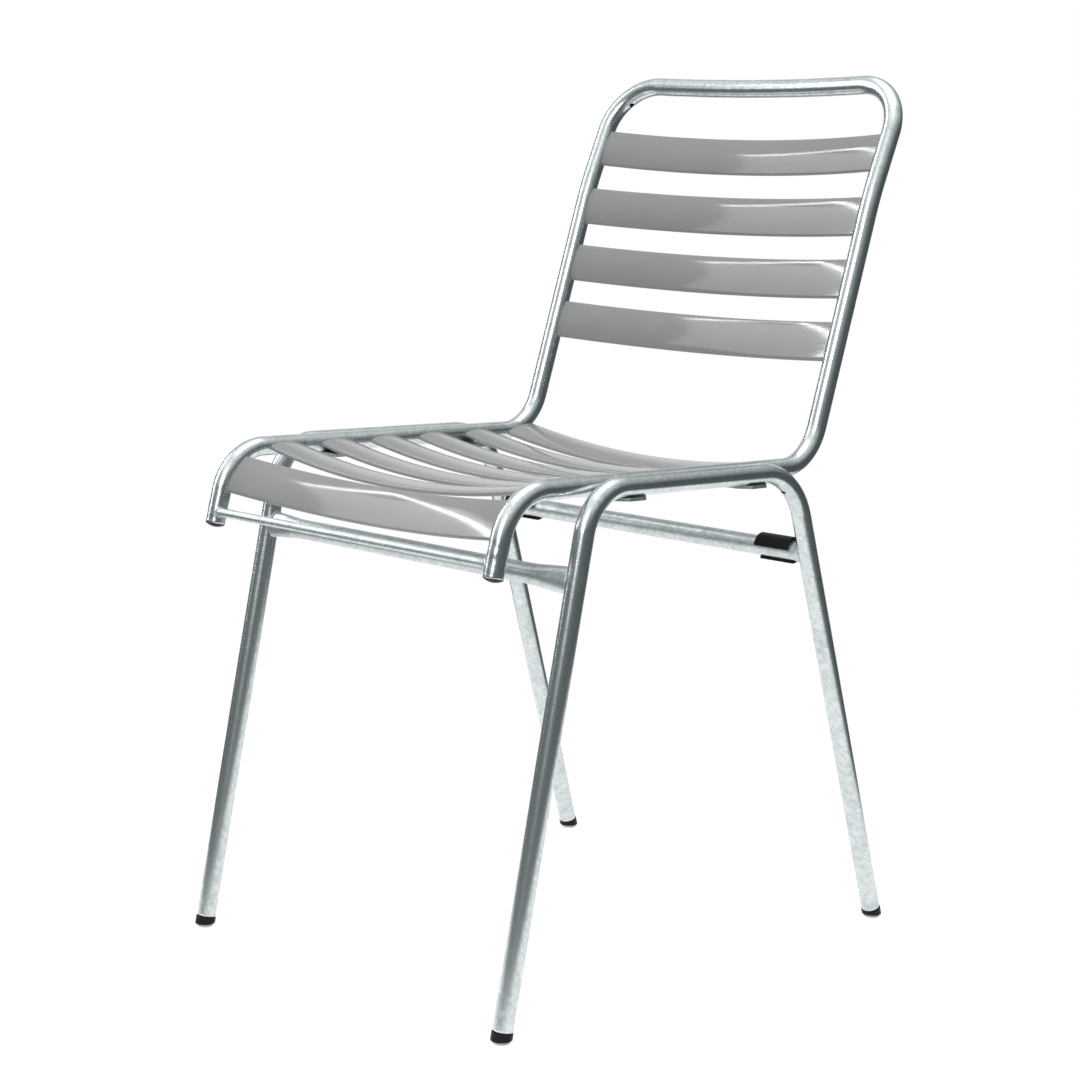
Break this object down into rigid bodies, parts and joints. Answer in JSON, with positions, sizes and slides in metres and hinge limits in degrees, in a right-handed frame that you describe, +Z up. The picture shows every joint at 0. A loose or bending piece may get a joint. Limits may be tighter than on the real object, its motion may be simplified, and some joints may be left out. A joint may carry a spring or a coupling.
{
  "type": "stacking garden chair",
  "caption": "Stacking bistro chair: one bent galvanised tube carries dished grey seat and back slats, between splayed tube leg frames with cross tubes and plastic feet.",
  "frame": {"origin": "middle of the chair's outline on the floor", "axes": "+Z up, -Y the front of the seat, +X the sitter's left"},
  "size_m": [0.4286, 0.5583, 0.8102],
  "materials": {
    "galvanised_steel": "hot-dip galvanised, mottled and lightly scratched",
    "slat_plastic": "smooth glossy grey",
    "black_plastic": "satin black",
    "glide_plastic": "satin light grey"
  },
  "bodies": {
    "root": {"seat_back_frame": "galvanised_steel", "left_leg_frame": "galvanised_steel", "right_leg_frame": "galvanised_steel", "front_cross_tube": "galvanised_steel", "rear_cross_tube": "galvanised_steel", "front_tie_rod": "galvanised_steel", "left_front_joining_tab": "galvanised_steel", "left_rear_joining_tab": "galvanised_steel", "right_front_joining_tab": "galvanised_steel", "right_rear_joining_tab": "galvanised_steel", "seat_slat_1": "slat_plastic", "seat_slat_2": "slat_plastic", "seat_slat_3": "slat_plastic", "seat_slat_4": "slat_plastic", "seat_slat_5": "slat_plastic", "seat_slat_6": "slat_plastic", "seat_slat_7": "slat_plastic", "back_slat_1": "slat_plastic", "back_slat_2": "slat_plastic", "back_slat_3": "slat_plastic", "back_slat_4": "slat_plastic", "left_end_plug": "black_plastic", "right_end_plug": "black_plastic", "left_front_foot_collar": "black_plastic", "left_rear_foot_collar": "black_plastic", "right_front_foot_collar": "black_plastic", "right_rear_foot_collar": "black_plastic", "left_stacking_guard": "black_plastic", "right_stacking_guard": "black_plastic", "left_front_foot_glide": "glide_plastic", "left_rear_foot_glide": "glide_plastic", "right_front_foot_glide": "glide_plastic", "right_rear_foot_glide": "glide_plastic"}
  },
  "joints": []
}
